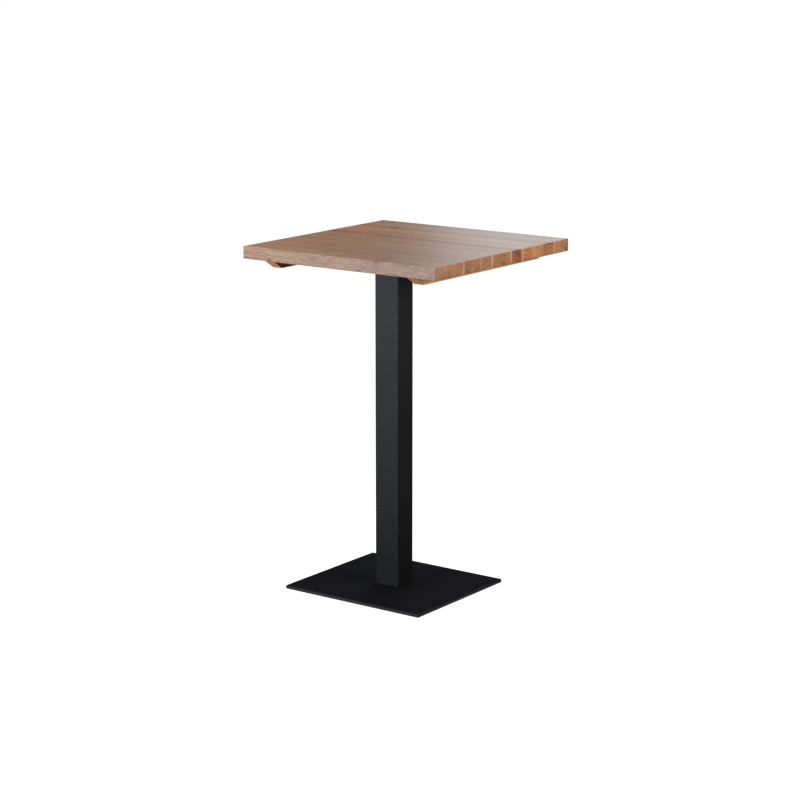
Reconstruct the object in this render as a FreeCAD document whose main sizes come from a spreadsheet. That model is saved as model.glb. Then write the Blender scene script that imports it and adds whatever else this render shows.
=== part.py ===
import FreeCAD, Part
import Sketcher
import os
import re

# A high bistro table. X runs along the boards of the top, Y across them, Z up.
# The origin is on the floor under the middle of the top. Sizes are millimetres.

DRIVING_SIZES = {
    "overall_height": 1092,
    # wooden top: glued staves that run along X
    "top_length": 700,
    "top_thick": 38,
    "top_edge_round": 1.5,
    # cleats: two battens under the top that run across the boards
    "cleat_spacing": 518,
    "cleat_wide": 34,
    "cleat_deep": 25,
    "cleat_inset": 8.5,
    "cleat_bevel_run": 40,
    "cleat_edge_round": 1.2,
    # wood screws through the cleats
    "screw_pitch": 130,
    "screw_long": 50,
    "screw_radius": 2.5,
    "screw_head_radius": 4.8,
    "screw_point": 6,
    "screw_hole_clearance": 0.5,
    # square steel column, with its axis beside the middle of the top
    "column_shift": -50,
    "column_wide": 88,
    "column_deep": 77,
    "column_wall": 2.5,
    "column_corner": 3.5,
    # steel base plate
    "base_wide": 506,
    "base_deep": 451,
    "base_thick": 10,
    "base_corner": 3,
    "base_edge_round": 0.8,
    # steel head plate, between the column and the top
    "head_wide": 300,
    "head_deep": 260,
    "head_thick": 5,
    "head_corner": 10,
    # tapped blocks in the column's ends, and their countersunk bolts
    "block_thick": 12,
    "block_pitch_x": 50,
    "block_pitch_y": 42,
    "block_engagement": 10,
    "sunk_head_radius": 8,
    "sunk_socket_flats": 5,
    "sunk_socket_deep": 3,
    # one thread size throughout
    "thread_radius": 4,
    "thread_clearance": 0.05,
    # hexagon bolts, washers and inserts that hold the top
    "top_bolt_pitch_x": 250,
    "top_bolt_pitch_y": 105,
    "top_bolt_engagement": 13,
    "hex_flats": 13,
    "hex_height": 5.3,
    "washer_radius": 8,
    "washer_thick": 1.6,
    "bolt_hole_clearance": 0.5,
    "insert_radius": 6,
    "insert_long": 15,
    "insert_hole_spare": 2,
    # levelling feet
    "foot_inset": 48,
    "pad_radius": 14,
    "pad_height": 4,
    "pad_floor": 1.2,
    "disc_radius": 6.5,
    "disc_thick": 1.2,
    "collar_height": 4,
    "collar_flats": 13,
    "stud_hole_roof": 1.5,
    "stud_hole_spare": 0.5,
    "running_clearance": 0.1,
}

# widths of the glued staves, from the front edge of the top to the back
STAVE_WIDTHS = [75, 69, 45, 44, 46, 49, 62, 48, 66, 56, 60, 38, 42]

SCREW_ROWS = 5
TOP_BOLT_ROWS = 3

# how far a cutting outline runs past the face that it cuts, and how near two lengths match
OVERRUN = 1
NEAR = 0.01

# a sketch's own axes and origin, as its constraints number them, and a circle's centre
LEVEL_AXIS = -1
UPRIGHT_AXIS = -2
ORIGIN = (-1, 1)
CENTRE = 3


def stave_size(number):
    return f"stave_{number:02d}_wide"


STAVE_SIZES = {stave_size(number): width for number, width in enumerate(STAVE_WIDTHS, 1)}
ALIASES = DRIVING_SIZES | STAVE_SIZES

doc = FreeCAD.newDocument("bistro_table")
sheet = doc.addObject("Spreadsheet::Sheet", "sizes")
parts = {}


def fill_sheet():
    """Writes each driving size in column B, named by its alias."""
    for row, (alias, value) in enumerate(ALIASES.items(), 1):
        sheet.set(f"A{row}", alias)
        sheet.set(f"B{row}", str(value))
        sheet.setAlias(f"B{row}", alias)
    doc.recompute()


def size(text):
    """Turns each alias in an expression into a reference to the sheet."""
    return re.sub(r"[a-z]\w*", lambda word: f"sizes.{word[0]}" if word[0] in ALIASES else word[0], text)


def bind(item, prop, text):
    item.setExpression(prop, size(text))


def place(item, along="0", across="0", up="0"):
    """Puts a sub-part at a place worked out from the sheet."""
    for axis, text in (("x", along), ("y", across), ("z", up)):
        bind(item, f"Placement.Base.{axis}", text)


def new_body(label):
    body = doc.addObject("PartDesign::Body", label)
    body.Label = label
    return body


def origin_item(body, role):
    return next(item for item in body.Origin.OriginFeatures if item.Role == role)


def new_sketch(body, plane, offset=None):
    """A sketch on one of the body's own origin planes, moved within it by expressions."""
    sketch = body.newObject("Sketcher::SketchObject", f"{body.Name}_sketch")
    sketch.AttachmentSupport = [(origin_item(body, plane), "")]
    sketch.MapMode = "FlatFace"
    for axis, text in (offset or {}).items():
        bind(sketch, f"AttachmentOffset.Base.{axis}", text)
    return sketch


def fix_point(sketch, geometry, point, place_text):
    """Ties a sketch point to the sketch's origin by one distance on each axis."""
    for kind, text, axis in zip(("DistanceX", "DistanceY"), place_text, (UPRIGHT_AXIS, LEVEL_AXIS)):
        if text == "0":
            sketch.addConstraint(Sketcher.Constraint("PointOnObject", geometry, point, axis))
            continue
        value = float(sketch.evalExpression(size(text)))
        index = sketch.addConstraint(Sketcher.Constraint(kind, *ORIGIN, geometry, point, value))
        bind(sketch, f"Constraints[{index}]", text)


def draw_outline(sketch, corners):
    """A closed outline with straight sides, each corner given by two expressions."""
    spots = [
        FreeCAD.Vector(*(float(sketch.evalExpression(size(text))) for text in corner), 0)
        for corner in corners
    ]
    count = len(spots)
    for index in range(count):
        sketch.addGeometry(Part.LineSegment(spots[index], spots[(index + 1) % count]), False)
    for index in range(count):
        sketch.addConstraint(Sketcher.Constraint("Coincident", index, 2, (index + 1) % count, 1))
    for index, corner in enumerate(corners):
        fix_point(sketch, index, 1, corner)


def draw_circle(sketch, radius, centre=("0", "0")):
    value = float(sketch.evalExpression(size(radius)))
    spot = FreeCAD.Vector(*(float(sketch.evalExpression(size(text))) for text in centre), 0)
    geometry = sketch.addGeometry(Part.Circle(spot, FreeCAD.Vector(0, 0, 1), value), False)
    fix_point(sketch, geometry, CENTRE, centre)
    index = sketch.addConstraint(Sketcher.Constraint("Radius", geometry, value))
    bind(sketch, f"Constraints[{index}]", radius)


def rectangle(wide, deep):
    half_x, half_y = f"({wide}) / 2", f"({deep}) / 2"
    return [
        (f"-{half_x}", f"-{half_y}"),
        (half_x, f"-{half_y}"),
        (half_x, half_y),
        (f"-{half_x}", half_y),
    ]


def hexagon(flats):
    """Corners of a hexagon with two corners on the X axis, by its size across flats."""
    to_corner, half_side, half_flats = (
        f"({flats}) / sqrt(3)",
        f"({flats}) / (2 * sqrt(3))",
        f"({flats}) / 2",
    )
    return [
        (to_corner, "0"),
        (half_side, half_flats),
        (f"-{half_side}", half_flats),
        (f"-{to_corner}", "0"),
        (f"-{half_side}", f"-{half_flats}"),
        (half_side, f"-{half_flats}"),
    ]


def feature(body, kind, sketch, **values):
    """Adds a sketched feature to the body. Text values are expressions."""
    made = body.newObject(f"PartDesign::{kind}", f"{body.Name}_{kind.lower()}")
    made.Profile = sketch
    for name, value in values.items():
        if isinstance(value, str):
            bind(made, name, value)
        else:
            setattr(made, name, value)
    if kind in ("Revolution", "Groove"):
        made.ReferenceAxis = (sketch, ["V_Axis"])
        made.Angle = 360
    body.Tip = made
    return made


def pad_outline(body, corners, height, offset=None):
    sketch = new_sketch(body, "XY_Plane", offset)
    draw_outline(sketch, corners)
    return feature(body, "Pad", sketch, Length=height)


def turn(body, corners, kind="Revolution", offset=None):
    """Turns an outline of radius and height about the sketch's upright axis."""
    sketch = new_sketch(body, "XZ_Plane", offset)
    draw_outline(sketch, corners)
    return feature(body, kind, sketch)


def cut_up(body, sketch, depth=None):
    """Cuts from the sketch upwards, through everything unless a depth is given."""
    pocket = feature(body, "Pocket", sketch, Reversed=True)
    if depth is None:
        pocket.Type = "ThroughAll"
    else:
        bind(pocket, "Length", depth)
    return pocket


def repeat(body, originals, pitch_x, count_x, pitch_y, count_y):
    """Repeats features on a grid that starts at the first one."""
    pattern = body.newObject("PartDesign::LinearPattern", f"{body.Name}_grid")
    pattern.Originals = originals
    pattern.Direction = (origin_item(body, "X_Axis"), [""])
    pattern.Occurrences = count_x
    bind(pattern, "Length", f"({pitch_x}) * {count_x - 1}")
    pattern.Direction2 = (origin_item(body, "Y_Axis"), [""])
    pattern.Occurrences2 = count_y
    bind(pattern, "Length2", f"({pitch_y}) * {count_y - 1}")
    body.Tip = pattern
    return pattern


def round_edges(body, base, radius, wanted):
    """Rounds those edges of a feature whose middle and spans along X, Y and Z are wanted."""
    doc.recompute()
    names = []
    for number, edge in enumerate(base.Shape.Edges, 1):
        box = edge.BoundBox
        if wanted(box.Center, (box.XLength, box.YLength, box.ZLength)):
            names.append(f"Edge{number}")
    made = body.newObject("PartDesign::Fillet", f"{body.Name}_rounding")
    made.Base = (base, names)
    bind(made, "Radius", radius)
    body.Tip = made
    return made


def upright(middle, spans):
    return spans[2] > max(spans[0], spans[1])


# heights and places that several sub-parts share
GAP = "(pad_height + collar_height)"
COLUMN_FOOT = f"({GAP} + base_thick)"
TOP_UNDER = "(overall_height - top_thick)"
HEAD_UNDER = f"({TOP_UNDER} - head_thick)"
COLUMN_LONG = f"({HEAD_UNDER} - {COLUMN_FOOT})"
INNER_WIDE = "(column_wide - 2 * column_wall)"
INNER_DEEP = "(column_deep - 2 * column_wall)"
TOP_WIDE = "(" + " + ".join(stave_size(n + 1) for n in range(len(STAVE_WIDTHS))) + ")"
FIRST_BLOCK_BOLT = ("-block_pitch_x / 2", "-block_pitch_y / 2")
FIRST_SCREW = ("-cleat_spacing / 2", f"-screw_pitch * {SCREW_ROWS - 1} / 2")
FIRST_TOP_BOLT = ("-top_bolt_pitch_x / 2", f"-top_bolt_pitch_y * {TOP_BOLT_ROWS - 1} / 2")
SUNK_HEAD_DEEP = "(sunk_head_radius - thread_radius)"
STUD_HOLE_DEEP = "(base_thick - stud_hole_roof)"


def make_top_bores():
    """The blind bores in the underside of the top, as solids to cut from the staves."""
    pilots = new_body("screw_pilots")
    sketch = new_sketch(pilots, "XY_Plane")
    draw_circle(sketch, "screw_radius + thread_clearance")
    bore = feature(pilots, "Pad", sketch, Length=f"screw_long - cleat_deep + {OVERRUN}")
    repeat(pilots, [bore], "cleat_spacing", 2, "screw_pitch", SCREW_ROWS)
    place(pilots, *FIRST_SCREW, TOP_UNDER)

    insert_bores = new_body("insert_bores")
    sketch = new_sketch(insert_bores, "XY_Plane")
    draw_circle(sketch, "insert_radius")
    bore = feature(insert_bores, "Pad", sketch, Length="insert_long + insert_hole_spare")
    repeat(insert_bores, [bore], "top_bolt_pitch_x", 2, "top_bolt_pitch_y", TOP_BOLT_ROWS)
    place(insert_bores, f"column_shift + {FIRST_TOP_BOLT[0]}", FIRST_TOP_BOLT[1], TOP_UNDER)

    bores = doc.addObject("Part::Compound", "top_bores")
    bores.Links = [pilots, insert_bores]
    return bores


def make_stave(number, bores):
    """One board of the top. Its outer edges are rounded, its glued edges are square."""
    label = f"stave_{number:02d}"
    wide = stave_size(number)
    blank = new_body(f"{label}_blank")
    board = pad_outline(blank, rectangle("top_length", wide), "top_thick")
    half_wide = STAVE_WIDTHS[number - 1] / 2
    outer_side = {1: -half_wide, len(STAVE_WIDTHS): half_wide}.get(number)

    def outer_edge(middle, spans):
        end_edge = spans[1] > max(spans[0], spans[2])
        on_side = outer_side is not None and abs(middle.y - outer_side) < NEAR
        return end_edge or on_side

    round_edges(blank, board, "top_edge_round", outer_edge)
    before = " + ".join(["0"] + [stave_size(n) for n in range(1, number)])
    place(blank, "0", f"({before}) + {wide} / 2 - {TOP_WIDE} / 2", TOP_UNDER)
    stave = doc.addObject("Part::Cut", label)
    stave.Base = blank
    stave.Tool = bores
    parts[label] = stave


def make_cleat(label, side):
    """A batten with sloping ends, bored and countersunk from below for its screws."""
    body = new_body(label)
    sketch = new_sketch(body, "YZ_Plane")
    half_long = f"({TOP_WIDE} / 2 - cleat_inset)"
    draw_outline(
        sketch,
        [
            (f"-{half_long}", "0"),
            (f"-({half_long} - cleat_bevel_run)", "-cleat_deep"),
            (f"{half_long} - cleat_bevel_run", "-cleat_deep"),
            (half_long, "0"),
        ],
    )
    batten = feature(body, "Pad", sketch, Length="cleat_wide", Midplane=True)

    def lower_edge(middle, spans):
        return middle.z < -NEAR

    round_edges(body, batten, "cleat_edge_round", lower_edge)
    hole = "(screw_radius + screw_hole_clearance)"
    sink = "(screw_head_radius + thread_clearance)"
    bore = turn(
        body,
        [
            ("0", f"-cleat_deep - {OVERRUN}"),
            (sink, f"-cleat_deep - {OVERRUN}"),
            (sink, "-cleat_deep"),
            (hole, f"-cleat_deep + {sink} - {hole}"),
            (hole, f"{OVERRUN}"),
            ("0", f"{OVERRUN}"),
        ],
        "Groove",
        {"z": f"-({FIRST_SCREW[1]})"},
    )
    pattern = body.newObject("PartDesign::LinearPattern", f"{label}_screw_row")
    pattern.Originals = [bore]
    pattern.Direction = (origin_item(body, "Y_Axis"), [""])
    pattern.Occurrences = SCREW_ROWS
    bind(pattern, "Length", f"screw_pitch * {SCREW_ROWS - 1}")
    body.Tip = pattern
    place(body, f"{side} * cleat_spacing / 2", "0", TOP_UNDER)
    parts[label] = body


def make_cleat_screws():
    body = new_body("cleat_screws")
    screw = turn(
        body,
        [
            ("0", "0"),
            ("screw_head_radius", "0"),
            ("screw_radius", "screw_head_radius - screw_radius"),
            ("screw_radius", "screw_long - screw_point"),
            ("0", "screw_long"),
        ],
    )
    repeat(body, [screw], "cleat_spacing", 2, "screw_pitch", SCREW_ROWS)
    place(body, *FIRST_SCREW, f"{TOP_UNDER} - cleat_deep")
    parts["cleat_screws"] = body


def make_thread_inserts():
    body = new_body("thread_inserts")
    insert = turn(
        body,
        [
            ("thread_radius + thread_clearance", "0"),
            ("insert_radius", "0"),
            ("insert_radius", "insert_long"),
            ("thread_radius + thread_clearance", "insert_long"),
        ],
    )
    repeat(body, [insert], "top_bolt_pitch_x", 2, "top_bolt_pitch_y", TOP_BOLT_ROWS)
    place(body, f"column_shift + {FIRST_TOP_BOLT[0]}", FIRST_TOP_BOLT[1], TOP_UNDER)
    parts["thread_inserts"] = body


def make_top_washers():
    body = new_body("top_washers")
    hole = "thread_radius + bolt_hole_clearance"
    washer = turn(
        body,
        [(hole, "0"), ("washer_radius", "0"), ("washer_radius", "washer_thick"), (hole, "washer_thick")],
    )
    repeat(body, [washer], "top_bolt_pitch_x", 2, "top_bolt_pitch_y", TOP_BOLT_ROWS)
    first_x, first_y = FIRST_TOP_BOLT
    place(body, f"column_shift + {first_x}", first_y, f"{HEAD_UNDER} - washer_thick")
    parts["top_washers"] = body


def make_top_bolts():
    """Hexagon bolts that point upwards, through washer and head plate into the inserts."""
    body = new_body("top_bolts")
    head = pad_outline(body, hexagon("hex_flats"), "hex_height")
    shank_end = "hex_height + washer_thick + head_thick + top_bolt_engagement"
    shank = turn(
        body,
        [
            ("0", "hex_height"),
            ("thread_radius", "hex_height"),
            ("thread_radius", shank_end),
            ("0", shank_end),
        ],
    )
    repeat(body, [head, shank], "top_bolt_pitch_x", 2, "top_bolt_pitch_y", TOP_BOLT_ROWS)
    first_x, first_y = FIRST_TOP_BOLT
    place(body, f"column_shift + {first_x}", first_y, f"{HEAD_UNDER} - washer_thick - hex_height")
    parts["top_bolts"] = body


def make_column():
    """Square tube with small rounded corners."""
    body = new_body("column_tube")
    solid = pad_outline(body, rectangle("column_wide", "column_deep"), COLUMN_LONG)
    round_edges(body, solid, "column_corner", upright)
    sketch = new_sketch(body, "XY_Plane")
    draw_outline(sketch, rectangle(INNER_WIDE, INNER_DEEP))
    bore = cut_up(body, sketch)

    def inner_upright(middle, spans):
        inner_x = (body.evalExpression(size(INNER_WIDE)) / 2, abs(middle.x))
        inner_y = (body.evalExpression(size(INNER_DEEP)) / 2, abs(middle.y))
        close = all(abs(wanted - found) < NEAR for wanted, found in (inner_x, inner_y))
        return close and upright(middle, spans)

    round_edges(body, bore, "column_corner - column_wall", inner_upright)
    place(body, "column_shift", "0", COLUMN_FOOT)
    parts["column_tube"] = body


def make_block(label, up):
    """A steel block that fills the column's end, with four tapped holes."""
    body = new_body(label)
    plain = pad_outline(body, rectangle(INNER_WIDE, INNER_DEEP), "block_thick")
    round_edges(body, plain, "column_corner - column_wall", upright)
    sketch = new_sketch(body, "XY_Plane")
    draw_circle(sketch, "thread_radius + thread_clearance", FIRST_BLOCK_BOLT)
    hole = cut_up(body, sketch)
    repeat(body, [hole], "block_pitch_x", 2, "block_pitch_y", 2)
    place(body, "column_shift", "0", up)
    parts[label] = body


def make_sunk_bolts(label, plate_thick, up, pointing):
    """Four countersunk socket bolts; pointing is 1 for upwards and -1 for downwards."""
    body = new_body(label)
    shank_end = f"{pointing} * ({plate_thick} + block_engagement)"
    bolt = turn(
        body,
        [
            ("0", "0"),
            ("sunk_head_radius", "0"),
            ("thread_radius", f"{pointing} * {SUNK_HEAD_DEEP}"),
            ("thread_radius", shank_end),
            ("0", shank_end),
        ],
    )
    sketch = new_sketch(body, "XY_Plane")
    draw_outline(sketch, hexagon("sunk_socket_flats"))
    socket = feature(body, "Pocket", sketch, Length="sunk_socket_deep", Reversed=pointing > 0)
    repeat(body, [bolt, socket], "block_pitch_x", 2, "block_pitch_y", 2)
    first_x, first_y = FIRST_BLOCK_BOLT
    place(body, f"column_shift + {first_x}", first_y, up)
    parts[label] = body


def sunk_hole(plate_thick, head_face, pointing):
    """Outline of a countersunk hole whose head face is at the given height."""
    hole = "(thread_radius + bolt_hole_clearance)"
    sink = "(sunk_head_radius + thread_clearance)"
    beyond = f"{head_face} - {pointing} * {OVERRUN}"
    far_side = f"{head_face} + {pointing} * ({plate_thick} + {OVERRUN})"
    return [
        ("0", beyond),
        (sink, beyond),
        (sink, head_face),
        (hole, f"{head_face} + {pointing} * ({sink} - {hole})"),
        (hole, far_side),
        ("0", far_side),
    ]


def make_head_plate():
    """Plate under the top: sunk holes for the column's bolts, plain holes for the top's."""
    body = new_body("head_plate")
    plain = pad_outline(body, rectangle("head_wide", "head_deep"), "head_thick")
    round_edges(body, plain, "head_corner", upright)
    first_x, first_y = FIRST_BLOCK_BOLT
    hole = turn(
        body,
        sunk_hole("head_thick", "head_thick", -1),
        "Groove",
        {"x": first_x, "z": f"-({first_y})"},
    )
    repeat(body, [hole], "block_pitch_x", 2, "block_pitch_y", 2)
    sketch = new_sketch(body, "XY_Plane")
    draw_circle(sketch, "thread_radius + bolt_hole_clearance", FIRST_TOP_BOLT)
    hole = cut_up(body, sketch)
    repeat(body, [hole], "top_bolt_pitch_x", 2, "top_bolt_pitch_y", TOP_BOLT_ROWS)
    place(body, "column_shift", "0", HEAD_UNDER)
    parts["head_plate"] = body


def make_base_plate():
    """Heavy plate: sunk holes from below for the column, blind tapped holes for the feet."""
    body = new_body("base_plate")
    plain = pad_outline(body, rectangle("base_wide", "base_deep"), "base_thick")
    corners = round_edges(body, plain, "base_corner", upright)

    def rim(middle, spans):
        return not upright(middle, spans)

    round_edges(body, corners, "base_edge_round", rim)
    first_x, first_y = FIRST_BLOCK_BOLT
    hole = turn(body, sunk_hole("base_thick", "0", 1), "Groove", {"x": first_x, "z": f"-({first_y})"})
    repeat(body, [hole], "block_pitch_x", 2, "block_pitch_y", 2)
    sketch = new_sketch(body, "XY_Plane")
    first_foot = ("-(base_wide / 2 - foot_inset)", "-(base_deep / 2 - foot_inset)")
    draw_circle(sketch, "thread_radius + running_clearance / 2", first_foot)
    hole = cut_up(body, sketch, STUD_HOLE_DEEP)
    repeat(body, [hole], "base_wide - 2 * foot_inset", 2, "base_deep - 2 * foot_inset", 2)
    place(body, "column_shift", "0", GAP)
    parts["base_plate"] = body


def place_foot(body, side_x, side_y):
    place(
        body,
        f"column_shift + {side_x} * (base_wide / 2 - foot_inset)",
        f"{side_y} * (base_deep / 2 - foot_inset)",
    )


def make_foot_stud(label, side_x, side_y):
    """Threaded stud with a spanner collar and a disc that turns inside the pad."""
    body = new_body(label)
    pad_outline(body, hexagon("collar_flats"), "collar_height", {"z": "pad_height"})
    disc_under = "(pad_floor + running_clearance)"
    neck = "(thread_radius - 2 * running_clearance)"
    stud_end = f"{GAP} + {STUD_HOLE_DEEP} - stud_hole_spare"
    turn(
        body,
        [
            ("0", disc_under),
            ("disc_radius", disc_under),
            ("disc_radius", f"{disc_under} + disc_thick"),
            (neck, f"{disc_under} + disc_thick"),
            (neck, f"{GAP} - running_clearance"),
            ("thread_radius", f"{GAP} - running_clearance"),
            ("thread_radius", stud_end),
            ("0", stud_end),
        ],
    )
    place_foot(body, side_x, side_y)
    parts[label] = body


def make_foot_pad(label, side_x, side_y):
    """Round pad, moulded round the stud's disc with room for it to turn."""
    body = new_body(label)
    neck = "(thread_radius + running_clearance)"
    room = "(disc_radius + running_clearance)"
    ceiling = "(pad_floor + disc_thick + 2 * running_clearance)"
    turn(
        body,
        [
            ("0", "0"),
            ("pad_radius", "0"),
            ("pad_radius", "pad_height"),
            (neck, "pad_height"),
            (neck, ceiling),
            (room, ceiling),
            (room, "pad_floor"),
            ("0", "pad_floor"),
        ],
    )
    place_foot(body, side_x, side_y)
    parts[label] = body


def check_document():
    for item in doc.Objects:
        if {"Invalid", "Error"} & set(item.State):
            raise RuntimeError(f"{item.Label} could not be computed: {item.State}")
    for label, item in parts.items():
        if item.Shape.isNull() or not item.Shape.isValid():
            raise RuntimeError(f"{label} has no valid shape")


def main():
    fill_sheet()
    bores = make_top_bores()
    for number in range(1, len(STAVE_WIDTHS) + 1):
        make_stave(number, bores)
    make_cleat("cleat_left", -1)
    make_cleat("cleat_right", 1)
    make_cleat_screws()
    make_thread_inserts()
    make_top_bolts()
    make_top_washers()
    make_head_plate()
    make_sunk_bolts("head_plate_bolts", "head_thick", TOP_UNDER, -1)
    make_block("column_top_block", f"{HEAD_UNDER} - block_thick")
    make_column()
    make_block("column_bottom_block", COLUMN_FOOT)
    make_base_plate()
    make_sunk_bolts("base_bolts", "base_thick", GAP, 1)
    for across, side_y in (("front", -1), ("back", 1)):
        for along, side_x in (("left", -1), ("right", 1)):
            make_foot_stud(f"foot_stud_{across}_{along}", side_x, side_y)
            make_foot_pad(f"foot_pad_{across}_{along}", side_x, side_y)
    doc.recompute()
    check_document()
    os.makedirs("parts", exist_ok=True)
    for label, item in parts.items():
        item.Shape.exportStep(f"parts/{label}.step")
    print(f"{len(parts)} sub-parts written")


main()
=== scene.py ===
import math

import bmesh
import bpy
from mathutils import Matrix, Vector


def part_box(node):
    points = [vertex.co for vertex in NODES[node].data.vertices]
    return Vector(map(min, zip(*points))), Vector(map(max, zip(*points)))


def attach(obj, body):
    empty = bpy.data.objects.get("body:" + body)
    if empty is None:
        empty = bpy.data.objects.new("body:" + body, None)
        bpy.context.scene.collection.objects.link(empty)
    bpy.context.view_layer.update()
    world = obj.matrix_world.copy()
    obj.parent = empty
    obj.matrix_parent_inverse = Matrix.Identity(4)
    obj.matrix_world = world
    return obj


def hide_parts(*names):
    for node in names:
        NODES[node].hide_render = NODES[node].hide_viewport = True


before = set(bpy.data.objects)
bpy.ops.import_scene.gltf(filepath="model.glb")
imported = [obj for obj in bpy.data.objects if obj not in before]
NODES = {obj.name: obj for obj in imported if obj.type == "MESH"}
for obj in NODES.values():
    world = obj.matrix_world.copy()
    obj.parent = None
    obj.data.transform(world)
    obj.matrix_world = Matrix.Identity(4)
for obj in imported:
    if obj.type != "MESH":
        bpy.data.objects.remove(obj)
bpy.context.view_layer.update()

MM = 0.001
# the floor is drawn a hair below the feet, so that the two never lie in one plane
FLOOR = -0.0002
TABLE_BODY = "table"

# the board that the top is made of, in metres: the height of its middle, and the two heights
# between which the darkening along its lower edge fades in
BOARD_MIDDLE = 1.073
DARKENING_TOP, DARKENING_FULL = 1.0600, 1.0545

# M8 threads, bolts and washers, in millimetres: radii, pitch, width across flats and lengths
M8_RADIUS, M8_ROOT, M8_PITCH = 4.0, 3.35, 1.25
M8_FLATS = 13.0
HEAD_HEIGHT = 5.3
BOLT_SHANK = 21.0
WASHER_THICK = 1.6
WASHER_HOLE = 4.3

# where the fasteners under the top sit, in millimetres: the undersides that they bear on,
# then the place, the pitch and the number of each pattern
CLEAT_UNDERSIDE = 1029.0
HEAD_PLATE_UNDERSIDE = 1049.0
CLEAT_X, SCREW_PITCH, SCREWS_A_CLEAT = 259.0, 130.0, 5
BOLT_X, BOLT_PITCH_X, BOLT_PITCH_Y, BOLTS_A_ROW = -175.0, 250.0, 105.0, 3

# The camera stands to the front right of the table and looks a little down on it.
CAMERA_PLACE = (3.9367, -5.4436, 2.0852)
CAMERA_LENS = 101.43
CAMERA_YAW = math.radians(36.065)
CAMERA_PITCH = math.radians(-12.416)


# ---------------------------------------------------------------- node trees


def add_node(tree, kind, inputs=None, **settings):
    """Adds a node. Inputs are given by name or number, as a value or as a socket to link."""
    made = tree.nodes.new(kind)
    for name, value in settings.items():
        setattr(made, name, value)
    for name, value in (inputs or {}).items():
        if isinstance(value, bpy.types.NodeSocket):
            tree.links.new(value, made.inputs[name])
        else:
            made.inputs[name].default_value = value
    return made


def maths(tree, operation, *values):
    return add_node(tree, "ShaderNodeMath", dict(enumerate(values)), operation=operation).outputs[0]


def vector_maths(tree, operation, *values):
    made = add_node(tree, "ShaderNodeVectorMath", operation=operation)
    for index, value in enumerate(values):
        # a scale's number sits after the three vectors
        socket = made.inputs["Scale"] if operation == "SCALE" and index == 1 else made.inputs[index]
        if isinstance(value, bpy.types.NodeSocket):
            tree.links.new(value, socket)
        else:
            socket.default_value = value
    return made.outputs["Value"] if operation in ("LENGTH", "DOT_PRODUCT") else made.outputs["Vector"]


def smooth_step(tree, value, start, end):
    """0 before start, 1 after end, with a soft change between. End may lie before start."""
    made = add_node(
        tree,
        "ShaderNodeMapRange",
        {"Value": value, "From Min": start, "From Max": end},
        interpolation_type="SMOOTHSTEP",
    )
    return made.outputs["Result"]


def noise(tree, place, stretch, detail, roughness=0.5, shift=None):
    """Noise with its own number of grains to the metre along each axis."""
    place = vector_maths(tree, "MULTIPLY", place, stretch)
    if shift is not None:
        place = vector_maths(tree, "ADD", place, shift)
    return add_node(
        tree,
        "ShaderNodeTexNoise",
        {"Vector": place, "Scale": 1.0, "Detail": detail, "Roughness": roughness},
    ).outputs


def mix_colour(tree, share, first, second, blend="MIX"):
    made = add_node(tree, "ShaderNodeMix", data_type="RGBA", blend_type=blend)
    for name, value in (("Factor_Float", share), ("A_Color", first), ("B_Color", second)):
        socket = next(s for s in made.inputs if s.identifier == name)
        if isinstance(value, bpy.types.NodeSocket):
            tree.links.new(value, socket)
        else:
            socket.default_value = value if name == "Factor_Float" else (*value, 1.0)
    return next(s for s in made.outputs if s.identifier == "Result_Color")


def new_group(name, inputs, outputs):
    """A shader group with named inputs (name: (kind, start value)) and outputs (name: kind)."""
    tree = bpy.data.node_groups.new(name, "ShaderNodeTree")
    for label, (kind, value) in inputs.items():
        socket = tree.interface.new_socket(label, in_out="INPUT", socket_type=kind)
        socket.default_value = value
    for label, kind in outputs.items():
        tree.interface.new_socket(label, in_out="OUTPUT", socket_type=kind)
    return tree, tree.nodes.new("NodeGroupInput").outputs, tree.nodes.new("NodeGroupOutput").inputs


def new_material(name, metallic=0.0, roughness=0.5, specular=0.5):
    material = bpy.data.materials.new(name)
    material.use_nodes = True
    tree = material.node_tree
    shader = tree.nodes["Principled BSDF"].inputs
    shader["Metallic"].default_value = metallic
    shader["Roughness"].default_value = roughness
    shader["Specular IOR Level"].default_value = specular
    return material, tree, shader


def object_place(tree):
    return add_node(tree, "ShaderNodeTexCoord").outputs["Object"]


def add_relief(tree, shader, height, depth, strength):
    """Fine relief of a depth in metres."""
    given = {"Height": height, "Distance": depth, "Strength": strength}
    bump = add_node(tree, "ShaderNodeBump", given)
    tree.links.new(bump.outputs["Normal"], shader["Normal"])


# ---------------------------------------------------------------- wood

FLOAT, COLOUR, VECTOR = "NodeSocketFloat", "NodeSocketColor", "NodeSocketVector"


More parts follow.
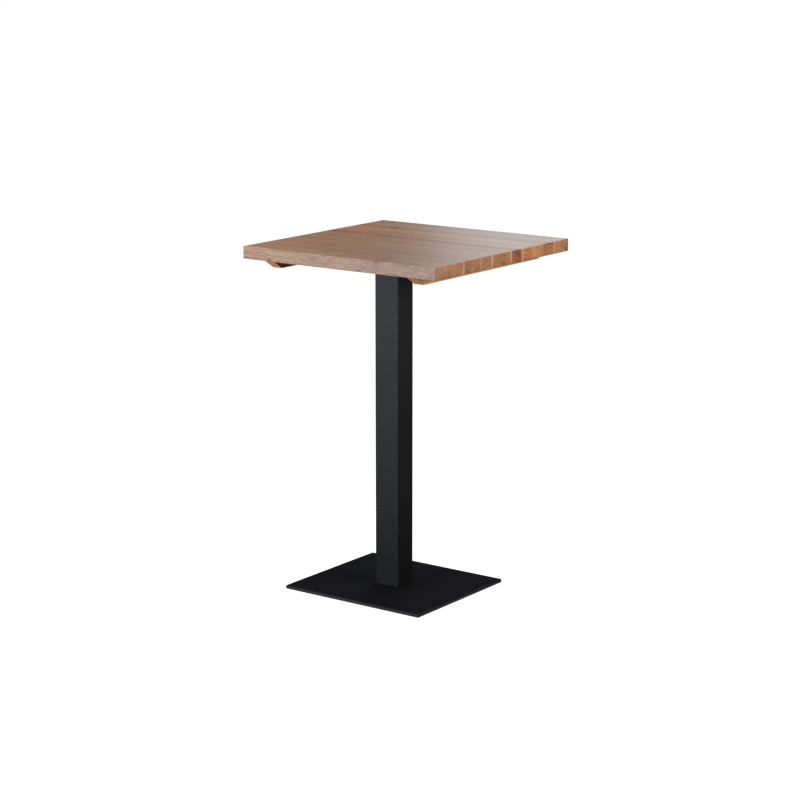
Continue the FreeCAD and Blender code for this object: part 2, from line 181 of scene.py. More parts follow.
def make_knot_group():
    """One knot: how far it swells the growth rings around it, and how dark it is."""
    tree, given, result = new_group(
        "knot",
        {
            "Place": (VECTOR, (0, 0, 0)),
            "Middle": (VECTOR, (0, 0, 0)),
            "Axis": (VECTOR, (0, 0, 1)),
            "Radius": (FLOAT, 0.005),
            "Shade": (FLOAT, 1.0),
            "Swell before": (FLOAT, 0.0),
            "Dark before": (FLOAT, 0.0),
        },
        {"Swell": FLOAT, "Dark": FLOAT},
    )
    offset = vector_maths(tree, "SUBTRACT", given["Place"], given["Middle"])
    along = vector_maths(tree, "DOT_PRODUCT", offset, given["Axis"])
    beside = vector_maths(tree, "SUBTRACT", offset, vector_maths(tree, "SCALE", given["Axis"], along))
    # a knot is longer along the grain than across it
    beside = vector_maths(tree, "MULTIPLY", beside, (0.6, 1.0, 1.0))
    wobble = noise(tree, beside, (90, 90, 90), 1.0)[0]
    away = maths(tree, "DIVIDE", vector_maths(tree, "LENGTH", beside), given["Radius"])
    away = maths(tree, "ADD", away, maths(tree, "MULTIPLY", maths(tree, "SUBTRACT", wobble, 0.5), 0.9))
    reach = maths(tree, "EXPONENT", maths(tree, "MULTIPLY", maths(tree, "POWER", away, 2.0), -0.16))
    swell = maths(tree, "MULTIPLY", maths(tree, "MULTIPLY", reach, given["Radius"]), 1.6)
    core = maths(tree, "MULTIPLY", smooth_step(tree, away, 1.15, 0.45), 0.85)
    rings = maths(tree, "SINE", maths(tree, "MULTIPLY", away, 14.0))
    core = maths(tree, "MULTIPLY", core, maths(tree, "MULTIPLY_ADD", rings, 0.12, 0.88))
    halo = maths(tree, "MULTIPLY", smooth_step(tree, away, 2.6, 0.9), 0.28)
    dark = maths(tree, "MULTIPLY", maths(tree, "MAXIMUM", core, halo), given["Shade"])
    tree.links.new(maths(tree, "ADD", swell, given["Swell before"]), result["Swell"])
    tree.links.new(maths(tree, "MAXIMUM", dark, given["Dark before"]), result["Dark"])
    return tree


def make_board_group():
    """Solid hardwood with its grain along X: growth rings about a pith line, fibres and pores."""
    tree, given, result = new_group(
        "board_grain",
        {
            "Place": (VECTOR, (0, 0, 0)),
            "Pith": (VECTOR, (0, 0.02, -0.06)),
            "Seed": (FLOAT, 0.0),
            "Ring gap": (FLOAT, 0.006),
            "Wander": (FLOAT, 0.012),
            "Tone": (FLOAT, 0.5),
            "Figure": (FLOAT, 1.0),
            "Brush": (FLOAT, 0.5),
            "Waves": (FLOAT, 0.0),
            "Sap": (FLOAT, 0.0),
            "Swell": (FLOAT, 0.0),
            "Knot": (FLOAT, 0.0),
            "Deep": (COLOUR, (0.165, 0.062, 0.029, 1)),
            "Middling": (COLOUR, (0.375, 0.174, 0.084, 1)),
            "Pale": (COLOUR, (0.610, 0.358, 0.202, 1)),
            "Sapwood": (COLOUR, (0.515, 0.312, 0.168, 1)),
            "Knotwood": (COLOUR, (0.050, 0.019, 0.011, 1)),
            "Tint": (COLOUR, (1.0, 1.0, 1.0, 1)),
        },
        {"Colour": COLOUR, "Relief": FLOAT, "Roughness": FLOAT},
    )
    place = given["Place"]
    shift = vector_maths(tree, "SCALE", (7.31, 3.17, 5.73), given["Seed"])

    # the pith line wanders, which bends the grain
    bend = noise(tree, place, (2.6, 7.0, 7.0), 2.0, 0.55, shift)["Color"]
    bend = vector_maths(tree, "SUBTRACT", bend, (0.5, 0.5, 0.5))
    bend = vector_maths(tree, "SCALE", bend, given["Wander"])
    ripple = noise(tree, place, (17.0, 60.0, 60.0), 2.0, 0.6, shift)["Color"]
    ripple = vector_maths(tree, "SUBTRACT", ripple, (0.5, 0.5, 0.5))
    ripple_size = maths(tree, "MULTIPLY", given["Wander"], 0.22)
    ripple = vector_maths(tree, "SCALE", ripple, ripple_size)
    bent = vector_maths(tree, "ADD", vector_maths(tree, "ADD", place, bend), ripple)

    from_pith = vector_maths(tree, "SUBTRACT", bent, given["Pith"])
    from_pith = vector_maths(tree, "MULTIPLY", from_pith, (0, 1, 1))
    radius = maths(tree, "ADD", vector_maths(tree, "LENGTH", from_pith), given["Swell"])
    turns = maths(tree, "DIVIDE", radius, given["Ring gap"])
    # wide and narrow years
    years = add_node(
        tree,
        "ShaderNodeTexNoise",
        {"W": maths(tree, "MULTIPLY_ADD", turns, 0.45, given["Seed"]), "Scale": 1.0, "Detail": 1.0},
        noise_dimensions="1D",
    ).outputs[0]
    turns = maths(tree, "MULTIPLY_ADD", years, 2.2, turns)
    within = maths(tree, "FRACT", turns)
    late = maths(
        tree,
        "MULTIPLY",
        smooth_step(tree, within, 0.25, 0.86),
        smooth_step(tree, within, 1.0, 0.9),
    )
    fine_rings = maths(tree, "SINE", maths(tree, "MULTIPLY", turns, 19.0))
    fine_rings = maths(tree, "MULTIPLY_ADD", fine_rings, 0.5, 0.5)

    streaks = noise(tree, bent, (1.7, 42.0, 42.0), 3.0, 0.6, shift)[0]
    clouds = noise(tree, place, (5.0, 16.0, 16.0), 3.0, 0.6, shift)[0]
    fibres = noise(tree, bent, (26.0, 1150.0, 1150.0), 2.0, 0.6, shift)[0]
    curl = noise(tree, place, (48.0, 110.0, 110.0), 1.0, 0.5, shift)["Color"]
    curl = vector_maths(tree, "SCALE", vector_maths(tree, "SUBTRACT", curl, (0.5, 0.5, 0.5)), 0.010)
    curled = vector_maths(tree, "ADD", bent, curl)
    brushed = noise(tree, curled, (58.0, 360.0, 360.0), 2.0, 0.6, shift)[0]
    # wavy lines that a wire brush raises where the grain runs out of the face
    swirl = noise(tree, place, (13.0, 42.0, 42.0), 2.0, 0.5, shift)[0]
    waves = maths(tree, "MULTIPLY_ADD", swirl, 44.0, maths(tree, "MULTIPLY", radius, 1500.0))
    waves = maths(tree, "MULTIPLY", maths(tree, "SINE", waves), given["Waves"])
    pores = noise(tree, bent, (75.0, 1500.0, 1500.0), 1.0, 0.5, shift)[0]
    pores_open = maths(tree, "MULTIPLY_ADD", late, -0.6, 0.9)
    pores = maths(tree, "MULTIPLY", smooth_step(tree, pores, 0.60, 0.70), pores_open)

    tone = given["Tone"]
    for value, middle, share in (
        (streaks, 0.5, 0.46),
        (clouds, 0.5, 0.42),
        (fibres, 0.5, 0.26),
        (brushed, 0.5, maths(tree, "MULTIPLY", given["Brush"], 0.34)),
        (waves, 0.0, 0.18),
        (fine_rings, 0.5, 0.05),
    ):
        tone = maths(tree, "MULTIPLY_ADD", maths(tree, "SUBTRACT", value, middle), share, tone)
    lines = maths(tree, "MULTIPLY", late, maths(tree, "MULTIPLY", given["Figure"], -0.24))
    tone = maths(tree, "ADD", tone, lines)
    tone = maths(tree, "MULTIPLY_ADD", pores, -0.13, tone)

    colour = mix_colour(tree, smooth_step(tree, tone, 0.0, 0.5), given["Deep"], given["Middling"])
    colour = mix_colour(tree, smooth_step(tree, tone, 0.45, 1.0), colour, given["Pale"])
    sap_shade = mix_colour(tree, maths(tree, "MULTIPLY", late, 0.30), given["Sapwood"], colour)
    colour = mix_colour(tree, given["Sap"], colour, sap_shade)
    colour = mix_colour(tree, given["Knot"], colour, given["Knotwood"])
    colour = mix_colour(tree, 1.0, colour, given["Tint"], "MULTIPLY")

    relief = maths(tree, "MULTIPLY_ADD", late, -0.75, fibres)
    relief = maths(tree, "MULTIPLY_ADD", pores, -0.8, relief)
    relief = maths(tree, "MULTIPLY_ADD", brushed, maths(tree, "MULTIPLY", given["Brush"], 4.5), relief)
    relief_depth = maths(tree, "MULTIPLY_ADD", given["Brush"], 0.5, 0.15)
    relief = maths(tree, "MULTIPLY", relief, relief_depth)
    sheen = maths(tree, "MULTIPLY_ADD", late, -0.06, maths(tree, "MULTIPLY_ADD", fibres, 0.16, 0.33))
    sheen = maths(tree, "MULTIPLY_ADD", pores, 0.2, sheen)
    tree.links.new(colour, result["Colour"])
    tree.links.new(relief, result["Relief"])
    tree.links.new(sheen, result["Roughness"])
    return tree


# Each stave from the front edge to the back one, in millimetres where it is a length:
# how pale it is, its tint, the gap between growth rings, how far the pith lies behind and
# above its middle, and how strong its figure is. The first stave has three numbers for how
# pale it is: its ends, its long sides, and its top and underside; its long sides are painted paler as a
# painted sheen.
STAVES = [
    ((0.60, 0.77, 0.62), (0.99, 0.99, 0.97), 6.0, 22, -52, 1.0),
    (0.55, (1.00, 0.98, 0.96), 6.4, -30, -46, 1.0),
    (0.44, (0.99, 0.96, 0.93), 5.6, 12, 40, 1.0),
    (0.48, (1.00, 0.98, 0.94), 6.2, -36, -30, 0.9),
    (0.53, (0.97, 1.00, 0.96), 7.0, 10, -34, 1.3),
    (0.50, (0.97, 1.00, 0.99), 6.0, 44, -42, 0.9),
    (0.54, (1.02, 0.97, 0.86), 6.6, -26, -40, 1.2),
    (0.24, (1.03, 0.93, 0.84), 5.4, 24, 46, 0.9),
    (0.58, (1.07, 0.97, 0.80), 7.0, -16, -32, 1.4),
    (0.64, (1.03, 1.00, 0.92), 6.4, 34, -50, 0.8),
    (0.46, (0.99, 0.99, 0.88), 6.6, 4, -26, 1.7),
    (0.54, (0.99, 0.99, 0.99), 5.6, -42, -44, 0.7),
    (0.46, (1.00, 0.95, 0.91), 6.0, 26, 38, 1.2),
]

# Sapwood along an edge of a stave: its side (1 is the back edge and -1 the front one), where
# it starts across the table in millimetres, how far it leans from the vertical, and how pale
# it is.
SAPWOOD = {
    2: [(1, -215.6, 0.10, 1.0)],
    3: [(1, -165.9, 0.0, 0.35)],
    4: [(-1, -156.1, 0.10, 0.4), (1, -128.1, -0.10, 0.45)],
    6: [(-1, -57.8, 0.20, 0.9)],
    7: [(1, 32.9, 0.10, 0.95)],
    9: [(-1, 107.8, 0.22, 0.45)],
    10: [(-1, 159.6, 0.10, 0.6)],
    11: [(1, 263.9, 0.0, 0.8)],
    12: [(-1, 275.1, 0.10, 0.9)],
}

# the tint of the first stave's long sides, a painted sheen that makes them cooler and whiter, where
# the bark side of the last stave starts, in millimetres across the table, and the colour of the dark
# marks: glue lines, the darkened lower edge and the bark strip
SIDE_SHEEN_TINT = (0.99, 1.05, 1.20)
BARK_LINE = 341.5
DARK_MARK_COLOUR = (0.13, 0.055, 0.027)

# Knots: the middle in millimetres, the way the branch ran, its radius and how dark it is.
SIDEWAYS, UPRIGHT, ENDWAYS = (0.05, 1.0, 0.12), (0.06, 0.1, 1.0), (1.0, 0.0, 0.0)
KNOTS = {
    1: [
        ((-250, -350, 1058.6), SIDEWAYS, 4.8, 1.0),
        ((-88, -350, 1077.6), SIDEWAYS, 6.0, 0.60),
        ((-40.6, -350, 1064.4), SIDEWAYS, 3.2, 0.6),
        ((-29.4, -350, 1078.3), SIDEWAYS, 2.6, 0.7),
        ((80.5, -350, 1057.4), SIDEWAYS, 2.8, 1.0),
        ((141.8, -350, 1085.7), SIDEWAYS, 5.2, 0.7),
        ((147.0, -350, 1066.0), SIDEWAYS, 6.0, 0.35),
        ((360, -350, 1044.0), SIDEWAYS, 15.0, 0.5),
    ],
    2: [((-161, -211, 1092), UPRIGHT, 4.2, 0.8), ((270, -232, 1092), UPRIGHT, 4.0, 0.8)],
    3: [((-140, -184.8, 1092), UPRIGHT, 5.0, 0.9), ((350, -192.5, 1061), ENDWAYS, 5.0, 0.7)],
    5: [((-175, -77, 1092), UPRIGHT, 4.6, 0.6)],
    6: [((0, -40, 1092), UPRIGHT, 6.0, 0.6), ((350, -24.2, 1078.7), ENDWAYS, 2.8, 0.9)],
    7: [((-275, -4.9, 1092), UPRIGHT, 6.0, 0.7)],
    8: [((-330, 84, 1092), UPRIGHT, 5.0, 0.7)],
    9: [
        ((-210, 95.2, 1092), UPRIGHT, 5.4, 0.8),
        ((-150, 149, 1092), UPRIGHT, 4.0, 0.6),
        ((350, 106.8, 1057.8), ENDWAYS, 2.8, 1.0),
    ],
    10: [((350, 178.5, 1082.5), ENDWAYS, 2.2, 0.9)],
    11: [((350, 243.6, 1086.3), ENDWAYS, 2.6, 0.8), ((-220, 236, 1092), UPRIGHT, 4.0, 0.6)],
    13: [((350, 311.5, 1056.0), ENDWAYS, 1.8, 0.5)],
}


def sapwood_share(tree, place, side, line, lean):
    """1 in the strip of sapwood along one edge of a stave."""
    axes = add_node(tree, "ShaderNodeSeparateXYZ", {0: place}).outputs
    wander = noise(tree, place, (6.0, 20.0, 40.0), 2.0)[0]
    past = maths(tree, "MULTIPLY", maths(tree, "SUBTRACT", axes["Y"], line * MM), side)
    past = maths(tree, "MULTIPLY_ADD", maths(tree, "SUBTRACT", axes["Z"], BOARD_MIDDLE), lean, past)
    past = maths(tree, "MULTIPLY_ADD", maths(tree, "SUBTRACT", wander, 0.5), 0.012, past)
    return smooth_step(tree, past, -0.0008, 0.0012)


def lower_edge_darkening(tree, place):
    """Darkens the lower edge of the top in patches."""
    height = add_node(tree, "ShaderNodeSeparateXYZ", {0: place}).outputs["Z"]
    patchy = noise(tree, place, (30.0, 60.0, 60.0), 2.0)[0]
    near = smooth_step(tree, height, DARKENING_TOP, DARKENING_FULL)
    patches = maths(tree, "MULTIPLY", smooth_step(tree, patchy, 0.3, 0.7), 0.45)
    return maths(tree, "MULTIPLY", near, patches)


def glue_line(tree, place, low, high):
    """1 within a hair of either edge of a stave."""
    across = add_node(tree, "ShaderNodeSeparateXYZ", {0: place}).outputs["Y"]
    low_gap = maths(tree, "SUBTRACT", across, low)
    high_gap = maths(tree, "SUBTRACT", high, across)
    return smooth_step(tree, maths(tree, "MINIMUM", low_gap, high_gap), 0.0007, 0.0001)


def by_face(tree, ends, sides, flats):
    """One value on the faces that look along X, one on those that look along Y, and one on
    the top and underside. A stave's ends look along X, and a cleat's look along Y."""
    facing = add_node(tree, "ShaderNodeNewGeometry").outputs["True Normal"]
    facing = vector_maths(tree, "ABSOLUTE", facing)
    return vector_maths(tree, "DOT_PRODUCT", facing, (ends, sides, flats))


def finish_wood(tree, shader, board, colour):
    tree.links.new(colour, shader["Base Color"])
    tree.links.new(board["Roughness"], shader["Roughness"])
    add_relief(tree, shader, board["Relief"], 0.00016, 0.55)


def make_stave_material(number, board_grain, knot, low, high):
    pale, tint, gap, behind, above, figure = STAVES[number - 1]
    material, tree, shader = new_material(f"oiled_stave_{number:02d}")
    if number == 1:
        # painted sheen: the long sides of the first stave are painted paler and cooler than the rest of
        # it, as where they catch the light
        tone = by_face(tree, *pale)
        stave_tint = mix_colour(tree, by_face(tree, 0, 1, 0), tint, SIDE_SHEEN_TINT)
    else:
        # the sanded faces show less of the difference between staves than their ends do
        tone = by_face(tree, pale, pale, 0.5 + (pale - 0.5) * 0.65)
        stave_tint = (*tint, 1.0)
    place = object_place(tree)
    swell, dark = 0.0, 0.0
    for middle, axis, radius, shade in KNOTS.get(number, []):
        made = add_node(
            tree,
            "ShaderNodeGroup",
            {
                "Place": place,
                "Middle": tuple(v * MM for v in middle),
                "Axis": tuple(Vector(axis).normalized()),
                "Radius": radius * MM,
                "Shade": shade,
                "Swell before": swell,
                "Dark before": dark,
            },
            node_tree=knot,
        )
        swell, dark = made.outputs["Swell"], made.outputs["Dark"]
    sap = 0.0
    for side, line, lean, paleness in SAPWOOD.get(number, []):
        strip = sapwood_share(tree, place, side, line, lean)
        sap = maths(tree, "MAXIMUM", sap, maths(tree, "MULTIPLY", strip, paleness))
    board = add_node(
        tree,
        "ShaderNodeGroup",
        {
            "Place": place,
            "Pith": (0.0, (low + high) / 2 + behind * MM, BOARD_MIDDLE + above * MM),
            "Seed": number * 1.7,
            "Ring gap": gap * MM,
            "Tone": tone,
            "Figure": by_face(tree, figure * 0.95, figure * 1.05, figure * 0.8),
            "Brush": by_face(tree, 1.0, 2.0, 0.25),
            "Waves": by_face(tree, 0.0, 1.0, 0.12),
            "Sap": maths(tree, "MULTIPLY", sap, by_face(tree, 1.0, 1.0, 0.6)),
            "Swell": swell,
            "Knot": dark,
            "Tint": stave_tint,
        },
        node_tree=board_grain,
    ).outputs
    dark_marks = maths(tree, "MULTIPLY", glue_line(tree, place, low, high), 0.35)
    # the top's lower edge is darker in patches towards the bottom
    dark_marks = maths(tree, "MAXIMUM", dark_marks, lower_edge_darkening(tree, place))
    if number == len(STAVES):
        # the last stave keeps a dark strip of its bark side
        bark = sapwood_share(tree, place, 1, BARK_LINE, 0.0)
        dark_marks = maths(tree, "MAXIMUM", dark_marks, maths(tree, "MULTIPLY", bark, 0.75))
    colour = mix_colour(tree, dark_marks, board["Colour"], DARK_MARK_COLOUR)
    finish_wood(tree, shader, board, colour)
    return material


def make_cleat_material(name, board_grain, seed, pith, painted_side_tone, painted_side_tint):
    """A cleat's grain runs across the table, along Y; its long sides get their own tone and tint, in
    which the light and shade falling on them are painted.
    """
    material, tree, shader = new_material(name, specular=0.4)
    axes = add_node(tree, "ShaderNodeSeparateXYZ", {0: object_place(tree)}).outputs
    swapped = {0: axes["Y"], 1: axes["X"], 2: axes["Z"]}
    place = add_node(tree, "ShaderNodeCombineXYZ", swapped).outputs[0]
    board = add_node(
        tree,
        "ShaderNodeGroup",
        {
            "Place": place,
            "Pith": pith,
            "Seed": seed,
            "Ring gap": 0.0038,
            "Tone": by_face(tree, painted_side_tone, 0.54, 0.46),
            "Figure": 0.8,
            "Tint": mix_colour(tree, by_face(tree, 1, 0, 0), (1.26, 0.90, 0.64), painted_side_tint),
        },
        node_tree=board_grain,
    ).outputs
    finish_wood(tree, shader, board, board["Colour"])
    return material


# ---------------------------------------------------------------- metals and plastic


def make_powder_coat(name, specular, smoothest, painted_edge_grey=0.0):
    """Black powder coat with a fine sandy texture; given a grey, its upright faces get a painted
    highlight, as if lit.
    """
    material, tree, shader = new_material(name, specular=specular)
    shader["Specular Tint"].default_value = (0.94, 0.92, 1.0, 1.0)
    place = object_place(tree)
    grain = noise(tree, place, (1500, 1500, 1500), 2.0, 0.6)[0]
    peel = noise(tree, place, (260, 260, 260), 1.0)[0]
    dust = noise(tree, place, (9, 9, 5), 4.0, 0.65)[0]
    specks = smooth_step(tree, noise(tree, place, (700, 700, 700), 1.0)[0], 0.70, 0.78)
    shade = maths(tree, "MULTIPLY_ADD", grain, 0.5, maths(tree, "MULTIPLY", dust, 0.5))
    colour = mix_colour(tree, shade, (0.0040, 0.0039, 0.0044), (0.0110, 0.0108, 0.0120))
    colour = mix_colour(tree, maths(tree, "MULTIPLY", specks, 0.3), colour, (0.045, 0.045, 0.048))
    if painted_edge_grey:
        # painted highlight: upright faces are painted greyer, as where the light catches the plate's
        # edges
        facing = add_node(tree, "ShaderNodeNewGeometry").outputs["True Normal"]
        upward = add_node(tree, "ShaderNodeSeparateXYZ", {0: facing}).outputs["Z"]
        painted_lit_uprights = smooth_step(tree, maths(tree, "ABSOLUTE", upward), 0.95, 0.3)
        colour = mix_colour(tree, painted_lit_uprights, colour, (painted_edge_grey, painted_edge_grey * 0.98, painted_edge_grey * 1.1))
    tree.links.new(colour, shader["Base Color"])
    rough = maths(tree, "MULTIPLY_ADD", grain, 0.10, smoothest)
    rough = maths(tree, "MULTIPLY_ADD", dust, 0.16, rough)
    tree.links.new(rough, shader["Roughness"])
    add_relief(tree, shader, maths(tree, "MULTIPLY_ADD", peel, 0.9, grain), 0.00012, 0.6)
    return material


def make_mill_steel():
    material, tree, shader = new_material("mill_steel", metallic=1.0, roughness=0.4)
    place = object_place(tree)
    scale = noise(tree, place, (60, 60, 60), 4.0, 0.6)[0]
    sawn = noise(tree, place, (40, 1400, 60), 2.0)[0]
    colour = mix_colour(tree, scale, (0.20, 0.19, 0.185), (0.42, 0.41, 0.40))
    tree.links.new(colour, shader["Base Color"])
    tree.links.new(maths(tree, "MULTIPLY_ADD", sawn, 0.3, 0.3), shader["Roughness"])
    add_relief(tree, shader, sawn, 0.0001, 0.5)
    return material


def make_black_oxide():
    material, tree, shader = new_material("black_oxide", metallic=1.0, roughness=0.42)
    place = object_place(tree)
    cloud = noise(tree, place, (420, 420, 420), 3.0, 0.6)[0]
    worn = smooth_step(tree, noise(tree, place, (900, 900, 900), 2.0)[0], 0.60, 0.76)
    colour = mix_colour(tree, cloud, (0.018, 0.018, 0.020), (0.045, 0.043, 0.042))
    colour = mix_colour(tree, maths(tree, "MULTIPLY", worn, 0.4), colour, (0.16, 0.15, 0.14))
    tree.links.new(colour, shader["Base Color"])
    tree.links.new(maths(tree, "MULTIPLY_ADD", cloud, 0.3, 0.28), shader["Roughness"])
    add_relief(tree, shader, cloud, 0.00005, 0.5)
    return material


def make_zinc():
    """Bright zinc plate with a faint blue and yellow cast."""
    material, tree, shader = new_material("zinc_plate", metallic=1.0, roughness=0.3)
    place = object_place(tree)
    cloud = noise(tree, place, (300, 300, 300), 3.0, 0.6)[0]
    fine = noise(tree, place, (2600, 2600, 2600), 1.0)[0]
    dull = noise(tree, place, (90, 90, 90), 3.0, 0.65)[0]
    colour = mix_colour(tree, cloud, (0.50, 0.53, 0.58), (0.68, 0.66, 0.60))
    colour = mix_colour(tree, smooth_step(tree, dull, 0.50, 0.72), colour, (0.34, 0.34, 0.33))
    tree.links.new(colour, shader["Base Color"])
    tree.links.new(maths(tree, "MULTIPLY_ADD", dull, 0.35, 0.14), shader["Roughness"])
    add_relief(tree, shader, maths(tree, "MULTIPLY_ADD", fine, 0.4, cloud), 0.00004, 0.6)
    return material


def make_nylon():
    """Moulded black nylon, scuffed grey where it stands on the floor."""
    material, tree, shader = new_material("nylon_black", roughness=0.5, specular=0.45)
    place = object_place(tree)
    spark = noise(tree, place, (2200, 2200, 2200), 1.0)[0]
    flow = noise(tree, place, (140, 140, 40), 3.0, 0.6)[0]
    height = add_node(tree, "ShaderNodeSeparateXYZ", {0: place}).outputs["Z"]
    sole = smooth_step(tree, height, 0.0009, 0.0)
    scuff = maths(tree, "MULTIPLY", sole, smooth_step(tree, flow, 0.40, 0.62))
    colour = mix_colour(tree, flow, (0.011, 0.011, 0.012), (0.024, 0.024, 0.026))
    colour = mix_colour(tree, maths(tree, "MULTIPLY", scuff, 0.5), colour, (0.12, 0.115, 0.11))
    tree.links.new(colour, shader["Base Color"])
    tree.links.new(maths(tree, "MULTIPLY_ADD", spark, 0.2, 0.38), shader["Roughness"])
    add_relief(tree, shader, spark, 0.00006, 0.5)
    return material


# ---------------------------------------------------------------- shapes


def ring_wall(bm, rings, steps, hollow=False):
    """Joins rings of points, each a function of the step, into a closed skin: capped at both
    ends, or hollow, with the last ring joined to the first one."""
    rows = [[bm.verts.new(ring(i)) for i in range(steps)] for ring in rings]
    after = rows[1:] + rows[:1] if hollow else rows[1:]
    for low, high in zip(rows, after):
        for i in range(steps):
            j = (i + 1) % steps
            bm.faces.new((low[i], low[j], high[j], high[i]))
    if not hollow:
        bm.faces.new(reversed(rows[0]))
        bm.faces.new(rows[-1])


def circle_ring(radius, height, steps):
    def at(i):
        turn = 2 * math.pi * i / steps
        return Vector((radius * math.cos(turn), radius * math.sin(turn), height))

    return at


def mesh_from(name, bm, smooth_angle=35):
    bmesh.ops.recalc_face_normals(bm, faces=bm.faces)
    mesh = bpy.data.meshes.new(name)
    bm.to_mesh(mesh)
    bm.free()
    mesh.polygons.foreach_set("use_smooth", [True] * len(mesh.polygons))
    mesh.set_sharp_from_angle(angle=math.radians(smooth_angle))
    return mesh


def turned(name, profile, steps):
    """A turned piece from (radius, height) points, bottom to top, in millimetres."""
    bm = bmesh.new()
    ring_wall(bm, [circle_ring(r * MM, z * MM, steps) for r, z in profile], steps)
    return mesh_from(name, bm)


def threaded(name, radius, root, pitch, low, high, steps, rows_a_turn):
    """A screw thread as one skin: the radius rises and falls along a helix, in millimetres."""
    bm = bmesh.new()
    count = max(2, round((high - low) / pitch * rows_a_turn))

    def thread_ring(height):
        end_fade = min(1.0, (high - height) / pitch, (height - low) / pitch + 0.15)

        def at(i):
            turn = i / steps
            phase = (height / pitch - turn) % 1.0
            crest = 1.0 - abs(2.0 * phase - 1.0)
            crest = min(1.0, max(0.0, 1.4 * crest - 0.15)) * max(0.0, end_fade)
            r = (root + (radius - root) * crest) * MM
            angle = 2 * math.pi * turn
            return Vector((r * math.cos(angle), r * math.sin(angle), height * MM))

        return at

    heights = [low + (high - low) * k / count for k in range(count + 1)]
    ring_wall(bm, [thread_ring(height) for height in heights], steps)
    return mesh_from(name, bm, 60)


def prism(name, corners, across, low, high):
    """A straight prism of a number of corners, across its flats in millimetres."""
    bm = bmesh.new()
    radius = across / 2 / math.cos(math.pi / corners) * MM
    ring_wall(bm, [circle_ring(radius, z * MM, corners) for z in (low, high)], corners)
    return mesh_from(name, bm, 20)


def combined(name, first, second, operation):
    """The Boolean of two meshes as a new mesh."""
    base = bpy.data.objects.new("blank", first)
    tool = bpy.data.objects.new("cutter", second)
    for piece in (base, tool):
        bpy.context.scene.collection.objects.link(piece)
    modifier = base.modifiers.new("Boolean", "BOOLEAN")
    modifier.object = tool
    modifier.operation = operation
    modifier.solver = "EXACT"
    bpy.context.view_layer.update()
    done = base.evaluated_get(bpy.context.evaluated_depsgraph_get())
    made = bpy.data.meshes.new_from_object(done)
    made.name = name
    for piece in (base, tool):
        bpy.data.objects.remove(piece)
    return made


def joined(name, meshes):
    bm = bmesh.new()
    for mesh in meshes:
        bm.from_mesh(mesh)
    made = bpy.data.meshes.new(name)
    bm.to_mesh(made)
    bm.free()
    made.set_sharp_from_angle(angle=math.radians(35))
    return made


# ---------------------------------------------------------------- fasteners


def make_pattern_tree():
    """Sets copies of one fastener out in rows and columns, as on a drilling template."""
    tree = bpy.data.node_groups.new("set_out_fasteners", "GeometryNodeTree")
    sockets = {
        "Fastener": "NodeSocketGeometry",
        "First": "NodeSocketVector",
        "Column step": "NodeSocketVector",
        "Columns": "NodeSocketInt",
        "Row step": "NodeSocketVector",
        "Rows": "NodeSocketInt",
        "Finish": "NodeSocketMaterial",
    }
    for label, kind in sockets.items():
        tree.interface.new_socket(label, in_out="INPUT", socket_type=kind)
    tree.interface.new_socket("Fasteners", in_out="OUTPUT", socket_type="NodeSocketGeometry")
    given = tree.nodes.new("NodeGroupInput").outputs
    result = tree.nodes.new("NodeGroupOutput").inputs
    row = add_node(
        tree,
        "GeometryNodeMeshLine",
        {"Count": given["Rows"], "Start Location": given["First"], "Offset": given["Row step"]},
    )
    column = add_node(
        tree,
        "GeometryNodeMeshLine",
        {"Count": given["Columns"], "Offset": given["Column step"]},
    )
    grid = add_node(
        tree,
        "GeometryNodeInstanceOnPoints",
        {"Points": row.outputs[0], "Instance": column.outputs[0]},
    )
    points = add_node(tree, "GeometryNodeRealizeInstances", {0: grid.outputs[0]})
    copies = add_node(
        tree,
        "GeometryNodeInstanceOnPoints",
        {"Points": points.outputs[0], "Instance": given["Fastener"]},
    )
    real = add_node(tree, "GeometryNodeRealizeInstances", {0: copies.outputs[0]})
    done = add_node(
        tree, "GeometryNodeSetMaterial", {"Geometry": real.outputs[0], "Material": given["Finish"]}
    )
    tree.links.new(done.outputs[0], result["Fasteners"])
    return tree


def set_out(name, tree, fastener, finish, first, pitch_y=0.0, count_y=1, pitch_x=0.0, count_x=1):
    """One object with a fastener at each place of a grid along X and Y, in millimetres."""
    seed_piece = bpy.data.objects.new("pattern_of_" + name, fastener)
    bpy.context.scene.collection.objects.link(seed_piece)
    modifier = seed_piece.modifiers.new("Set out", "NODES")
    modifier.node_group = tree
    values = {
        "First": [v * MM for v in first],
        "Column step": [0.0, pitch_y * MM, 0.0],
        "Columns": count_y,
        "Row step": [pitch_x * MM, 0.0, 0.0],
        "Rows": count_x,
        "Finish": finish,
    }
    for socket in tree.interface.items_tree:
        if socket.in_out == "INPUT" and socket.name in values:
            modifier[socket.identifier] = values[socket.name]
    bpy.context.view_layer.update()
    done = seed_piece.evaluated_get(bpy.context.evaluated_depsgraph_get())
    mesh = bpy.data.meshes.new_from_object(done)
    mesh.name = name
    bpy.data.objects.remove(seed_piece)
    return add_piece(name, mesh)


def add_piece(name, mesh):
    piece = bpy.data.objects.new(name, mesh)
    bpy.context.scene.collection.objects.link(piece)
    return piece


def finish_piece(piece, body, slot, *nodes):
    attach(piece, body)
    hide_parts(*nodes)


def make_recess_arm(turn):
    """One bar of a cross recess, turned by an angle, that narrows as it goes in."""

    def bar_ring(long, wide, height):
        loop = [(-long, -wide), (long, -wide), (long, wide), (-long, wide)]

        def at(i):
            x, y = loop[i]
            c, s = math.cos(turn), math.sin(turn)
            return Vector(((x * c - y * s) * MM, (x * s + y * c) * MM, height * MM))

        return at

    bm = bmesh.new()
    ring_wall(bm, [bar_ring(2.55, 0.55, -0.6), bar_ring(1.05, 0.32, 2.1)], 4)
    return mesh_from("recess_arm", bm, 20)


